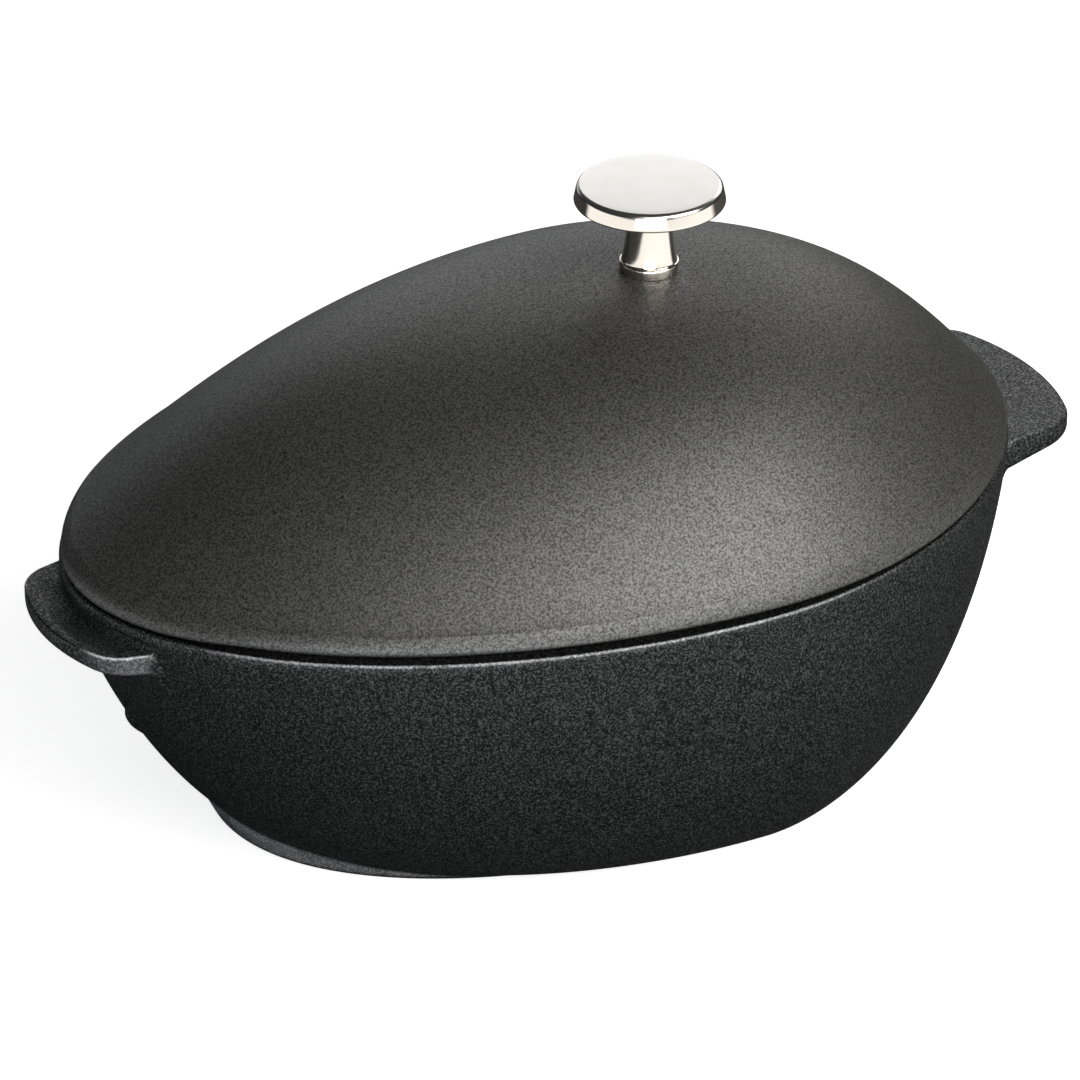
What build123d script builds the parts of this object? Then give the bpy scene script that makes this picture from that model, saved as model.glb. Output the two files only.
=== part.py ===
from build123d import *

import math
import os
from collections import namedtuple

# Egg-shaped cast-iron mussel pot with a domed lid, a turned metal knob and a wire strainer.
# Sizes are millimetres. X runs along the pot towards its broad end, Z is up, and the origin is
# on the table, under the middle of the rim's length. The pot is the same on both sides of Y = 0.

# Rim of the pot
rim_length = 250.0
rim_width = 176.8
rim_widest_at = 15.4  # where along X the rim is widest
rim_height = 75.3
rim_blunt_narrow = 1.89  # 2 is a quarter of an ellipse, less is more pointed
rim_blunt_broad = 1.84

# Where the wall has turned level into the floor
floor_end_narrow = -75.3
floor_end_broad = 93.7
floor_width = 129.6
floor_widest_at = 24.5
floor_blunt_narrow = 1.98
floor_blunt_broad = 1.53

# How soon the wall draws in below the rim: a larger number stays upright for longer
wall_upright_narrow = 1.3
wall_upright_broad = 1.7
wall_upright_side = 3.32
wall_turn = 1.67  # how tightly the wall turns into the floor

wall = 4.5
floor_thickness = 5.0
rim_band = 1.8  # upright band at the top of the wall
rim_round = 1.2
opening_round = 0.7

# Pad that the pot stands on, proud of the bowl at its narrow end only
pad_end_narrow = -88.8
pad_blunt_narrow = 1.75
pad_height = 10.0
pad_round = 0.9
pad_hidden = 0.8  # how far it lies inside the bowl elsewhere

# Ears, cast with the pot. Each is a plate that narrows towards an arched tip.
Ear = namedtuple("Ear", "reach root_width tip_width arch corner at_wall at_lip edge_round dish")
narrow_ear = Ear(
    reach=9.0,  # from the end of the rim to the tip
    root_width=61.4,
    tip_width=48.0,  # between the corners, where the sides meet the tip's arc
    arch=6.2,  # how far the tip stands out past the corners
    corner=5.0,
    at_wall=4.8,  # thickness
    at_lip=4.1,
    edge_round=1.6,
    dish=1.1,  # depth of the hollow on top for the finger tips
)
broad_ear = Ear(
    reach=18.5,
    root_width=69.4,
    tip_width=55.8,
    arch=7.1,
    corner=6.5,
    at_wall=6.9,
    at_lip=4.2,
    edge_round=1.2,
    dish=0.0,
)
ear_below_rim = 5.1
ear_root_depth = 25.0  # from the end of the rim back to the plate's root
ear_dish_share = 0.6  # half the hollow's width against the ear's reach
ear_dish_margin = 4.2  # from the hollow's ends to the ear's sides

# Stub that the foundry leaves on the narrow end's wall
stub_height = 36.6
stub_radius = 5.0
stub_proud = 1.5

# Lid
lid_wall = 4.0
seam_height = 1.2  # dark joint line between the pot and the lid's edge
seam_depth = 2.0
lid_edge_share = 0.993  # size of the lid's edge against the rim's outline
lid_edge_height = 2.4
shoulder_share = 0.975
shoulder_height = 2.8
shoulder_turn = 0.33  # how much of its narrowing it has done at half its height
dome_rise = 43.2
dome_power = 2.85
dome_crown = 1.1
lid_edge_round = 0.7
locating_lip_depth = 3.5
locating_lip_width = 3.0
locating_lip_play = 1.0
seat_share = 0.1  # size of the flat under the knob against the dome's foot
overlap = 1.5  # how far joined solids run into each other

# Knob, turned from one bar
knob_at = 30.5
knob_height = 23.2
cap_width = 37.1
cap_thickness = 4.3
cap_turn_top = 1.35  # how far in the rounded edge reaches on top
cap_turn_foot = 2.7
face_crown = 0.4
stem_top_width = 10.9
stem_foot_width = 13.8
collar_width = 14.8
collar_height = 2.7
stem_neck = 2.2  # height of the turn from the stem into the cap
knob_bore_depth = 13.0

# Fasteners under the knob
screw_width = 6.0
screw_head_width = 11.0
screw_head_height = 3.4
screw_slot_width = 1.4
screw_slot_depth = 1.6
screw_head_round = 1.7
screw_point = 0.7  # chamfer at the end of the thread
screw_in_knob = 10.0
thread_play = 0.05
screw_hole_play = 0.4
washer_width = 14.0
washer_thickness = 1.4
lock_washer_width = 11.8
lock_washer_thickness = 1.6
lock_washer_split = 1.5
lock_washer_slant = 25.0  # degrees
boss_width = 22.0
boss_height = 2.0

# Wire strainer, standing across the narrow end
strainer_at = -52.0
strainer_below_rim = 9.0
strainer_gap = 3.0  # between the frame's corners and the wall
frame_wire = 3.2
bar_wire = 2.0
bar_pitch = 6.0
runner_wire = 3.2
runner_length = 46.0
runner_spread = 44.0
runner_behind = 16.0  # length on the frame's narrow side
runner_end_round = 1.3
handle_wire = 3.2
handle_width = 26.0
handle_rise = 20.0
handle_bend = 7.0
frame_bend_top = 9.0
frame_bend_foot = 16.0
weld_depth = 0.3
standing_gap = 0.3

# How finely the castings are drawn
egg_points = 24
wall_steps = 12
dome_steps = 14
on_foot = (Align.CENTER, Align.CENTER, Align.MIN)

Egg = namedtuple("Egg", "narrow broad widest half_width blunt_narrow blunt_broad")


def mix(start, end, share):
    return start + (end - start) * share


def inset(egg, distance):
    """The egg drawn in by the same distance at its ends and sides."""
    return egg._replace(
        narrow=egg.narrow + distance,
        broad=egg.broad - distance,
        half_width=egg.half_width - distance,
    )


def shrink(egg, share):
    """The egg drawn in towards the knob's axis, to a share of its size."""
    return egg._replace(
        narrow=mix(knob_at, egg.narrow, share),
        broad=mix(knob_at, egg.broad, share),
        widest=mix(knob_at, egg.widest, share),
        half_width=egg.half_width * share,
    )


def egg_face(egg, height):
    """Flat face inside the egg's outline: four quarters of superellipses on one smooth curve."""
    points = []
    for step in range(egg_points):
        angle = 2 * math.pi * step / egg_points
        along, across = math.cos(angle), math.sin(angle)
        end, blunt = (egg.narrow, egg.blunt_narrow) if along < 0 else (egg.broad, egg.blunt_broad)
        x = mix(egg.widest, end, abs(along) ** (2 / blunt))
        y = math.copysign(egg.half_width * abs(across) ** (2 / blunt), across)
        points.append((x, y, height))
    return Face(Wire([Edge.make_spline(points, periodic=True)]))


def egg_prism(egg, low, high):
    return extrude(egg_face(egg, low), amount=high - low, dir=(0, 0, 1))


def egg_half_width_at(egg, x):
    """Half the egg's width at one place along its length."""
    end, blunt = (egg.narrow, egg.blunt_narrow) if x < egg.widest else (egg.broad, egg.blunt_broad)
    along = (x - egg.widest) / (end - egg.widest)
    return egg.half_width * (1 - along**blunt) ** (1 / blunt)


def draw_in(depth, upright):
    """How far the wall has drawn in at a depth below the rim: 0 at the rim, 1 at the floor."""
    return 1 - (1 - depth**upright) ** (1 / wall_turn)


def bowl_egg(top, bottom, depth):
    """Outline of the bowl at a depth that runs from 0 at the rim to 1 at the floor."""
    return Egg(
        narrow=mix(top.narrow, bottom.narrow, draw_in(depth, wall_upright_narrow)),
        broad=mix(top.broad, bottom.broad, draw_in(depth, wall_upright_broad)),
        widest=mix(top.widest, bottom.widest, depth),
        half_width=mix(top.half_width, bottom.half_width, draw_in(depth, wall_upright_side)),
        blunt_narrow=mix(top.blunt_narrow, bottom.blunt_narrow, depth),
        blunt_broad=mix(top.blunt_broad, bottom.blunt_broad, depth),
    )


def bowl(top, bottom, low, high, edge_round=0):
    """Solid bowl between two outlines, with an upright band at its rim.

    The wall is lofted through sections that crowd towards the floor.
    """
    band_depth = rim_band / (high - low)
    sections = []
    for step in range(wall_steps + 1):
        depth = mix(band_depth, 1, math.sin(math.pi / 2 * step / wall_steps))
        sections.append(egg_face(bowl_egg(top, bottom, depth), mix(high, low, depth)))
    band = egg_prism(bowl_egg(top, bottom, band_depth), high - rim_band, high)
    if edge_round > 0:
        band = fillet(band.edges().group_by(Axis.Z)[-1], edge_round)
    return loft(sections) + band


rim_egg = Egg(
    narrow=-rim_length / 2,
    broad=rim_length / 2,
    widest=rim_widest_at,
    half_width=rim_width / 2,
    blunt_narrow=rim_blunt_narrow,
    blunt_broad=rim_blunt_broad,
)
floor_egg = Egg(
    narrow=floor_end_narrow,
    broad=floor_end_broad,
    widest=floor_widest_at,
    half_width=floor_width / 2,
    blunt_narrow=floor_blunt_narrow,
    blunt_broad=floor_blunt_broad,
)
opening_egg = inset(rim_egg, wall)


def ear(side, shape):
    """One ear: a rounded plate, thinner towards its lip, whose root runs into the wall."""
    at_wall = rim_length / 2
    tip = at_wall + shape.reach
    corner = tip - shape.arch
    root = at_wall - ear_root_depth
    root_half = shape.root_width / 2
    tip_half = shape.tip_width / 2
    top = rim_height - ear_below_rim
    outline = [
        Polyline((corner, tip_half), (root, root_half), (root, -root_half), (corner, -tip_half)),
        ThreePointArc((corner, -tip_half), (tip, 0), (corner, tip_half)),
    ]
    plan = make_face(outline)
    plan = fillet(plan.vertices().group_by(Axis.X)[-1], shape.corner)
    slope = (shape.at_wall - shape.at_lip) / shape.reach
    under_root = top - shape.at_wall - slope * ear_root_depth
    profile = make_face(
        Polyline((root, under_root), (tip, top - shape.at_lip), (tip, top), (root, top), close=True)
    )
    solid = extrude(plan, amount=rim_height) & extrude(Plane.XZ * profile, amount=root_half, both=True)
    faces = solid.faces().sort_by(Axis.Z)
    edges = ShapeList(faces[0].edges() + faces[-1].edges())
    solid = fillet(edges.filter_by_position(Axis.X, root + overlap, tip), shape.edge_round)
    if shape.dish > 0:
        solid -= ear_scoop(shape, at_wall + shape.dish, top)
    if side < 0:
        solid = mirror(solid, about=Plane.YZ)
    return solid


def ear_scoop(shape, middle, top):
    """Cutter for a long shallow hollow across the ear that fades out before the ear's sides."""
    across_half = shape.reach * ear_dish_share
    along_half = shape.tip_width / 2 - ear_dish_margin
    tube = (across_half**2 + shape.dish**2) / (2 * shape.dish)
    ring = (along_half**2 + shape.dish**2) / (2 * shape.dish)
    return Pos(middle, 0, top - shape.dish + ring) * Rot(0, 90, 0) * Torus(ring - tube, tube)


def make_pot_body():
    body = bowl(rim_egg, floor_egg, 0, rim_height, rim_round)
    pad_egg = inset(floor_egg, pad_hidden)._replace(narrow=pad_end_narrow, blunt_narrow=pad_blunt_narrow)
    pad = egg_prism(pad_egg, 0, pad_height)
    pad = fillet(pad.edges().group_by(Axis.Z)[0], pad_round)
    body += pad
    body += ear(-1, narrow_ear)
    body += ear(1, broad_ear)
    stub_egg = bowl_egg(rim_egg, floor_egg, 1 - stub_height / rim_height)
    body += Pos(stub_egg.narrow - stub_proud + stub_radius, 0, stub_height) * Sphere(stub_radius)
    body -= bowl(opening_egg, floor_egg, floor_thickness, rim_height)
    opening_edge = body.edges().group_by(Axis.Z)[-1].sort_by(SortBy.LENGTH)[0]
    return fillet(opening_edge, opening_round)


# Heights of the lid
edge_foot = rim_height + seam_height
edge_top = edge_foot + lid_edge_height
dome_foot = edge_top + shoulder_height
dome_top = dome_foot + dome_rise
boss_foot = dome_top - lid_wall - boss_height


def dome_height(share, rise):
    """Height of the dome above its foot, where share runs from 0 at the knob to 1 at the foot."""
    return rise * (1 - share**dome_power) ** dome_crown


def dome_faces(egg, foot, rise):
    """Sections of a dome from just above its foot to the flat at its top, crowded near the foot."""
    faces = []
    for step in range(1, dome_steps):
        share = mix(seat_share, 1, math.cos(math.pi / 2 * step / dome_steps))
        faces.append(egg_face(shrink(egg, share), foot + dome_height(share, rise)))
    faces.append(egg_face(shrink(egg, seat_share), foot + dome_height(seat_share, rise)))
    return faces


knob_seat = dome_foot + dome_height(seat_share, dome_rise)


def make_lid():
    edge = egg_prism(shrink(rim_egg, lid_edge_share), edge_foot, edge_top)
    edge = fillet(edge.edges().group_by(Axis.Z)[0], lid_edge_round)
    seat = egg_prism(inset(rim_egg, seam_depth), rim_height, edge_top)

    shoulder_egg = shrink(rim_egg, shoulder_share)
    turn_egg = shrink(rim_egg, mix(lid_edge_share, shoulder_share, shoulder_turn))
    shoulder = [
        egg_face(shrink(rim_egg, lid_edge_share), edge_top),
        egg_face(turn_egg, (edge_top + dome_foot) / 2),
        egg_face(shoulder_egg, dome_foot),
    ]
    dome = loft(shoulder + dome_faces(shoulder_egg, dome_foot, dome_rise))

    locating_egg = inset(opening_egg, locating_lip_play)
    throat_egg = inset(locating_egg, locating_lip_width)
    lip = egg_prism(locating_egg, rim_height - locating_lip_depth, edge_top)
    lip = fillet(lip.edges().group_by(Axis.Z)[0], lid_edge_round)

    lean = lid_wall * math.sqrt(0.5)
    hollow_egg = inset(shoulder_egg, lean)
    hollow_foot = dome_foot - lean
    hollow_rise = dome_top - lid_wall - hollow_foot
    hollow = loft([egg_face(hollow_egg, hollow_foot)] + dome_faces(hollow_egg, hollow_foot, hollow_rise))
    throat = egg_prism(throat_egg, rim_height - locating_lip_depth, dome_top)
    mouth = egg_prism(throat_egg, rim_height - locating_lip_depth, hollow_foot + overlap)

    lid = dome + edge + seat + lip
    lid -= mouth
    lid -= hollow & throat
    boss = Cylinder(boss_width / 2, knob_seat - boss_foot - overlap, align=on_foot)
    hole = Cylinder(screw_width / 2 + screw_hole_play, dome_top - boss_foot, align=on_foot)
    return lid + Pos(knob_at, 0, boss_foot) * boss - Pos(knob_at, 0, boss_foot) * hole


def make_knob():
    """Crowned cap with a full round edge, a waisted stem and a collar, bored from below."""
    cap_radius = cap_width / 2
    face_edge = knob_height - face_crown
    cap_foot = face_edge - cap_thickness
    cap_middle = face_edge - cap_thickness / 2
    bore = screw_width / 2 + thread_play
    stem_foot = (stem_foot_width / 2, collar_height)
    stem_top = (stem_top_width / 2, cap_foot - stem_neck)
    under_cap = (cap_radius - cap_turn_foot, cap_foot)
    face_rim = (cap_radius - cap_turn_top, face_edge)
    leaning_in, upright, nearly_level = (-0.25, 1), (0, 1), (1, 0.1)
    outline = [
        Polyline((0, knob_bore_depth), (bore, knob_bore_depth), (bore, 0), (collar_width / 2, 0)),
        Polyline((collar_width / 2, 0), (collar_width / 2, collar_height), stem_foot),
        Spline(stem_foot, stem_top, tangents=[leaning_in, upright]),
        Spline(stem_top, under_cap, tangents=[upright, nearly_level]),
        EllipticalCenterArc((under_cap[0], cap_middle), cap_turn_foot, cap_thickness / 2, -90, arc_size=90),
        EllipticalCenterArc((face_rim[0], cap_middle), cap_turn_top, cap_thickness / 2, 0, arc_size=90),
        TangentArc((0, knob_height), face_rim, tangent=(1, 0)),
        Line((0, knob_height), (0, knob_bore_depth)),
    ]
    half = make_face(outline)
    return Pos(knob_at, 0, knob_seat) * revolve(Plane.XZ * half, Axis.Z)


def make_knob_screw():
    head_top = boss_foot - washer_thickness - lock_washer_thickness
    head = Cylinder(screw_head_width / 2, screw_head_height, align=on_foot)
    head = fillet(head.edges().group_by(Axis.Z)[0], screw_head_round)
    slot = Box(screw_head_width, screw_slot_width, 2 * screw_slot_depth)
    shank_length = knob_seat + screw_in_knob - head_top
    shank = Pos(0, 0, screw_head_height) * Cylinder(screw_width / 2, shank_length, align=on_foot)
    shank = chamfer(shank.edges().group_by(Axis.Z)[-1], screw_point)
    return Pos(knob_at, 0, head_top - screw_head_height) * (head - slot + shank)


def ring(width, thickness, foot):
    hole = screw_width / 2 + screw_hole_play
    disc = Cylinder(width / 2, thickness, align=on_foot) - Cylinder(hole, thickness, align=on_foot)
    return Pos(knob_at, 0, foot) * disc


def make_knob_washer():
    return ring(washer_width, washer_thickness, boss_foot - washer_thickness)


def make_lock_washer():
    foot = boss_foot - washer_thickness - lock_washer_thickness
    at = Pos(knob_at + lock_washer_width / 2, 0, foot + lock_washer_thickness / 2)
    slit = Box(lock_washer_width, lock_washer_split, 4 * lock_washer_thickness)
    return ring(lock_washer_width, lock_washer_thickness, foot) - at * Rot(lock_washer_slant, 0, 0) * slit


# Places of the strainer's wires
runner_level = floor_thickness + standing_gap + runner_wire / 2
frame_foot = runner_level + runner_wire / 2 + frame_wire / 2 - weld_depth
frame_top = rim_height - strainer_below_rim - frame_wire / 2


def strainer_half_width(height):
    """Half the frame's width at one height, inside the bowl's inner wall."""
    depth = (rim_height - height) / (rim_height - floor_thickness)
    half = egg_half_width_at(bowl_egg(opening_egg, floor_egg, depth), strainer_at)
    return half - strainer_gap - frame_wire / 2


def frame_face():
    """Flat face inside the frame's centre line: a four-sided loop with rounded corners."""
    top = strainer_half_width(frame_top)
    foot = strainer_half_width(frame_foot)
    corners = [
        (strainer_at, -foot, frame_foot),
        (strainer_at, foot, frame_foot),
        (strainer_at, top, frame_top),
        (strainer_at, -top, frame_top),
    ]
    face = make_face(Polyline(*corners, close=True))
    face = fillet(face.vertices().group_by(Axis.Z)[0], frame_bend_foot)
    return fillet(face.vertices().group_by(Axis.Z)[-1], frame_bend_top).face()


def wire_along(path, width):
    section = Plane(origin=path @ 0, z_dir=path % 0) * Circle(width / 2)
    return sweep(section, path=path)


def make_strainer_frame():
    return wire_along(frame_face().outer_wire(), frame_wire)


def make_strainer_bars():
    """Upright bars, laid side by side against the frame and cut to its outline."""
    level = strainer_at + frame_wire / 2 + bar_wire / 2 - weld_depth
    outline = extrude(frame_face(), amount=frame_wire + bar_wire, dir=(1, 0, 0))
    count = int((strainer_half_width(frame_top) - frame_bend_top) / bar_pitch)
    bars = []
    for step in range(-count, count + 1):
        bar = Pos(level, step * bar_pitch, 0) * Cylinder(bar_wire / 2, rim_height, align=on_foot)
        bars.append(bar & outline)
    return Compound(children=[bar.solid() for bar in bars])


def make_strainer_runners():
    """Two short wires on the floor that keep the frame upright."""
    runners = []
    for side in (-1, 1):
        wire = Rot(0, 90, 0) * Cylinder(runner_wire / 2, runner_length)
        wire = fillet(wire.edges().filter_by(GeomType.CIRCLE), runner_end_round)
        middle = strainer_at + runner_length / 2 - runner_behind
        runners.append(Pos(middle, side * runner_spread / 2, runner_level) * wire)
    return Compound(children=[runner.solid() for runner in runners])


def make_strainer_handle():
    foot = frame_top + frame_wire / 2 - weld_depth
    half = handle_width / 2
    bend = FilletPolyline(
        (strainer_at, -half, foot),
        (strainer_at, -half, foot + handle_rise),
        (strainer_at, half, foot + handle_rise),
        (strainer_at, half, foot),
        radius=handle_bend,
    )
    return wire_along(bend, handle_wire)


pieces = {
    "pot_body": make_pot_body(),
    "lid": make_lid(),
    "knob": make_knob(),
    "knob_screw": make_knob_screw(),
    "knob_washer": make_knob_washer(),
    "lock_washer": make_lock_washer(),
    "strainer_frame": make_strainer_frame(),
    "strainer_bars": make_strainer_bars(),
    "strainer_runners": make_strainer_runners(),
    "strainer_handle": make_strainer_handle(),
}

os.makedirs("parts", exist_ok=True)
for name, piece in pieces.items():
    export_step(piece, f"parts/{name}.step")

capacity = bowl(opening_egg, floor_egg, floor_thickness, rim_height).volume / 1e6
print(f"The bowl holds {capacity:.2f} litres to its rim")
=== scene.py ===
import math

import bpy
import numpy as np
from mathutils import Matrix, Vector


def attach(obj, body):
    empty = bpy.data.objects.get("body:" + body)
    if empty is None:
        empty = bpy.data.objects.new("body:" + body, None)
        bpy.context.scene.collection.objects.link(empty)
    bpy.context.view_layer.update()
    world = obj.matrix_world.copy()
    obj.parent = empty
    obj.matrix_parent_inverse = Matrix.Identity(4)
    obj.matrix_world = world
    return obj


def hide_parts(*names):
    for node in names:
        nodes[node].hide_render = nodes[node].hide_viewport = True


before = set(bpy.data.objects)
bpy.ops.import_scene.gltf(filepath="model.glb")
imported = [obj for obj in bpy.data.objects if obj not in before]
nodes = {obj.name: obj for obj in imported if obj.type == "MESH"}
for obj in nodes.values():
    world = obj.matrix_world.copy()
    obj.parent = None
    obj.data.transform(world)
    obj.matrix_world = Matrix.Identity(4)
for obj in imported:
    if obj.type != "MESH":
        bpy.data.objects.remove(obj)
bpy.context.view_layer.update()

# Black enamelled mussel pot: egg-shaped bowl with two cast ears, domed lid, nickel knob and a
# wire strainer inside. Shapes are worked out in millimetres and written to the meshes in metres.
mm = 0.001
print("frame loaded:", ", ".join(sorted(nodes)))


# Camera
camera = {
    "azimuth": -28.593,  # degrees, 0 looks along +Y
    "elevation": 28.916,
    "distance": 1.52656,
    "target": (0, 0, 0.060),
    "lens": 206.12,
    "sensor": 36,
    "shiftX": 0.00065,
    "shiftY": -0.00955,
    "clip": (0.05, 50),
}


def makeCamera(s):
    azimuth, elevation = math.radians(s["azimuth"]), math.radians(s["elevation"])
    level = math.cos(elevation)
    back = Vector((math.sin(azimuth) * level, -math.cos(azimuth) * level, math.sin(elevation)))
    data = bpy.data.cameras.new("camera")
    data.sensor_width = s["sensor"]
    data.lens = s["lens"]
    data.shift_x, data.shift_y = s["shiftX"], s["shiftY"]
    data.clip_start, data.clip_end = s["clip"]
    eye = bpy.data.objects.new("camera", data)
    bpy.context.scene.collection.objects.link(eye)
    eye.location = Vector(s["target"]) + back * s["distance"]
    eye.rotation_mode = "QUATERNION"
    eye.rotation_quaternion = (-back).to_track_quat("-Z", "Y")
    bpy.context.scene.camera = eye


makeCamera(camera)
bpy.context.scene.view_settings.view_transform = "Standard"
print("camera set")


# Shader nodes
def addNode(tree, kind, inputs=None, **settings):
    # One shader node. Its inputs are values, or sockets of other nodes to link.
    made = tree.nodes.new(kind)
    for key, value in settings.items():
        setattr(made, key, value)
    for key, value in (inputs or {}).items():
        if isinstance(value, bpy.types.NodeSocket):
            tree.links.new(value, made.inputs[key])
        else:
            made.inputs[key].default_value = value
    return made


def calc(tree, operation, *values):
    return addNode(tree, "ShaderNodeMath", dict(enumerate(values)), operation=operation).outputs[0]


def measure(tree, operation, *vectors):
    # The number that a vector operation such as LENGTH gives.
    made = addNode(tree, "ShaderNodeVectorMath", dict(enumerate(vectors)), operation=operation)
    return made.outputs["Value"]


def remap(tree, value, start, end, low=0.0, high=1.0):
    # Low where the value is start, high where it is end, and held there beyond them.
    made = addNode(tree, "ShaderNodeMapRange", {
        "Value": value, "From Min": start, "From Max": end, "To Min": low, "To Max": high})
    return made.outputs[0]


def mixColor(tree, share, first, second):
    # Inputs 6 and 7 and output 2 are the colours of a Mix node.
    ends = [c if isinstance(c, bpy.types.NodeSocket) else (*c, 1) for c in (first, second)]
    made = addNode(tree, "ShaderNodeMix", {0: share, 6: ends[0], 7: ends[1]}, data_type="RGBA")
    return made.outputs[2]


def newGroup(name, inputs, outputs):
    # Shader node group with float or vector inputs, given with their start values, and outputs.
    group = bpy.data.node_groups.new(name, "ShaderNodeTree")
    for label, start in inputs.items():
        kind = "NodeSocketVector" if start is None else "NodeSocketFloat"
        held = group.interface.new_socket(label, in_out="INPUT", socket_type=kind)
        if start is not None:
            held.default_value = start
    for label in outputs:
        group.interface.new_socket(label, in_out="OUTPUT", socket_type="NodeSocketFloat")
    given = group.nodes.new("NodeGroupInput").outputs
    result = group.nodes.new("NodeGroupOutput").inputs
    return group, given, result


def newMaterial(name):
    mat = bpy.data.materials.new(name)
    mat.use_nodes = True
    tree = mat.node_tree
    tree.nodes.clear()
    out = tree.nodes.new("ShaderNodeOutputMaterial")
    return mat, tree, out


# Lamps, world and floor
studio = {
    "worldColor": (0.94, 0.97, 1.0),
    "worldStrength": 0.03,
    "floorHalf": 6.0,  # metres
    "floorGrey": 0.95,  # as the camera sees it
    "floorBounce": 0.12,  # the grey that the pot sees in place of it
    "floorLift": 0.80,  # white added to the floor for the camera, near the pot
    "shadowEdge": (0.3, 0.9),  # metres from the pot over which that grows to full white
    "backdropWay": (0.45, 0.825, 0.342),  # behind the pot, where metal sees the world white
    "backdropEdge": (0.93, 0.97),  # cosine from that way at which the backdrop starts and is full
    "sweepEdge": (0.24, 0.34),  # metres from the pot past which metal sees the floor white
    "cameraWay": (-0.479, -0.878, 0),  # level, from the pot
    "sweepSide": (-0.35, -0.2),  # cosine from that way past which it does so
    "softboxes": [
        # name, place, aimed at, size, watts, colour
        ("boxKey", (0.48, -0.92, 0.82), (0.0, 0.0, 0.08), (0.95, 0.95), 12.9, (1.0, 0.99, 0.95)),
        ("boxFront", (-0.62, -1.22, 0.16), (0.0, 0.0, 0.06), (1.1, 0.42), 7.0, (0.93, 0.97, 1.0)),
        ("boxNear", (-0.39, -1.25, 1.10), (0.0, 0.0, 0.08), (1.0, 0.9), 5.8, (1.0, 0.98, 0.96)),
        ("boxRight", (1.10, 0.71, 0.72), (0.03, 0.0, 0.10), (0.6, 0.6), 1.6, (1.0, 0.99, 0.97)),
        ("boxBack", (0.25, 1.25, 0.26), (0.0, 0.0, 0.06), (1.2, 0.45), 0.8, (0.95, 0.98, 1.0)),
    ],
}


def makeSoftboxes(s):
    for name, place, aim, size, watts, color in s["softboxes"]:
        data = bpy.data.lights.new(name, "AREA")
        data.shape = "RECTANGLE"
        data.size, data.size_y = size
        data.energy = watts
        data.color = color
        box = bpy.data.objects.new(name, data)
        bpy.context.scene.collection.objects.link(box)
        box.location = place
        box.rotation_mode = "QUATERNION"
        box.rotation_quaternion = (Vector(aim) - Vector(place)).to_track_quat("-Z", "Y")


def inMetal(tree, path, past):
    # 1 for a ray that the object mirrors or lets through, where past is 1.
    bounced = calc(tree, "MAXIMUM", path["Is Glossy Ray"], path["Is Transmission Ray"])
    return calc(tree, "MULTIPLY", bounced, past)


def makeWorld(s):
    # White to the camera. Metal sees the white where the backdrop stands, and a dim room elsewhere.
    world = bpy.data.worlds.new("studio")
    world.use_nodes = True
    tree = world.node_tree
    tree.nodes.clear()
    out = tree.nodes.new("ShaderNodeOutputWorld")
    room = addNode(tree, "ShaderNodeBackground", {
        "Color": (*s["worldColor"], 1), "Strength": s["worldStrength"]})
    white = addNode(tree, "ShaderNodeBackground", {"Color": (1, 1, 1, 1), "Strength": 1.0})
    path = tree.nodes.new("ShaderNodeLightPath").outputs
    way = tree.nodes.new("ShaderNodeTexCoord").outputs["Generated"]
    past = remap(tree, measure(tree, "DOT_PRODUCT", way, s["backdropWay"]), *s["backdropEdge"])
    seen = calc(tree, "MAXIMUM", path["Is Camera Ray"], inMetal(tree, path, past))
    pick = addNode(tree, "ShaderNodeMixShader", {0: seen, 1: room.outputs[0], 2: white.outputs[0]})
    tree.links.new(pick.outputs[0], out.inputs["Surface"])
    bpy.context.scene.world = world


def makeFloor(s):
    # Paper that is pale to the camera and dim to the pot. White is added to it for the camera,
    # which leaves a faint shadow near the pot, and for metal only in front and farther off.
    half = s["floorHalf"]
    mesh = bpy.data.meshes.new("floor")
    corners = [(-half, -half, 0), (half, -half, 0), (half, half, 0), (-half, half, 0)]
    mesh.from_pydata(corners, [], [(0, 1, 2, 3)])
    floor = bpy.data.objects.new("floor", mesh)
    bpy.context.scene.collection.objects.link(floor)
    mat, tree, out = newMaterial("floorPaper")
    path = tree.nodes.new("ShaderNodeLightPath").outputs
    grey = remap(tree, path["Is Camera Ray"], 0.0, 1.0, s["floorBounce"], s["floorGrey"])
    paper = addNode(tree, "ShaderNodeBsdfDiffuse", {"Color": grey})
    place = tree.nodes.new("ShaderNodeTexCoord").outputs["Object"]
    away = measure(tree, "LENGTH", place)
    lift = remap(tree, away, *s["shadowEdge"], s["floorLift"], 1.0)
    toCamera = calc(tree, "MULTIPLY", path["Is Camera Ray"], lift)
    outward = addNode(tree, "ShaderNodeVectorMath", {0: place}, operation="NORMALIZE").outputs[0]
    side = remap(tree, measure(tree, "DOT_PRODUCT", outward, s["cameraWay"]), *s["sweepSide"])
    sweep = calc(tree, "MULTIPLY", remap(tree, away, *s["sweepEdge"]), side)
    seen = calc(tree, "MAXIMUM", toCamera, inMetal(tree, path, sweep))
    white = addNode(tree, "ShaderNodeEmission", {"Color": (1, 1, 1, 1), "Strength": seen})
    both = addNode(tree, "ShaderNodeAddShader", {0: paper.outputs[0], 1: white.outputs[0]})
    tree.links.new(both.outputs[0], out.inputs["Surface"])
    mesh.materials.append(mat)


makeSoftboxes(studio)
makeWorld(studio)
makeFloor(studio)
print("studio set")


# Surfaces
grid = {
    "samples": 4001,  # at which the crowding of columns is worked out
    "farthest": 200.0,  # no outline is farther than this from its centre
    "halvings": 36,
    "pinch": 0.14,  # share of an egg's half length over which its bend is rounded off
    "sharp": 50,  # degrees between two faces from which their edge is drawn sharp
}


def mix(start, end, share):
    return start + (end - start) * share


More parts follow.
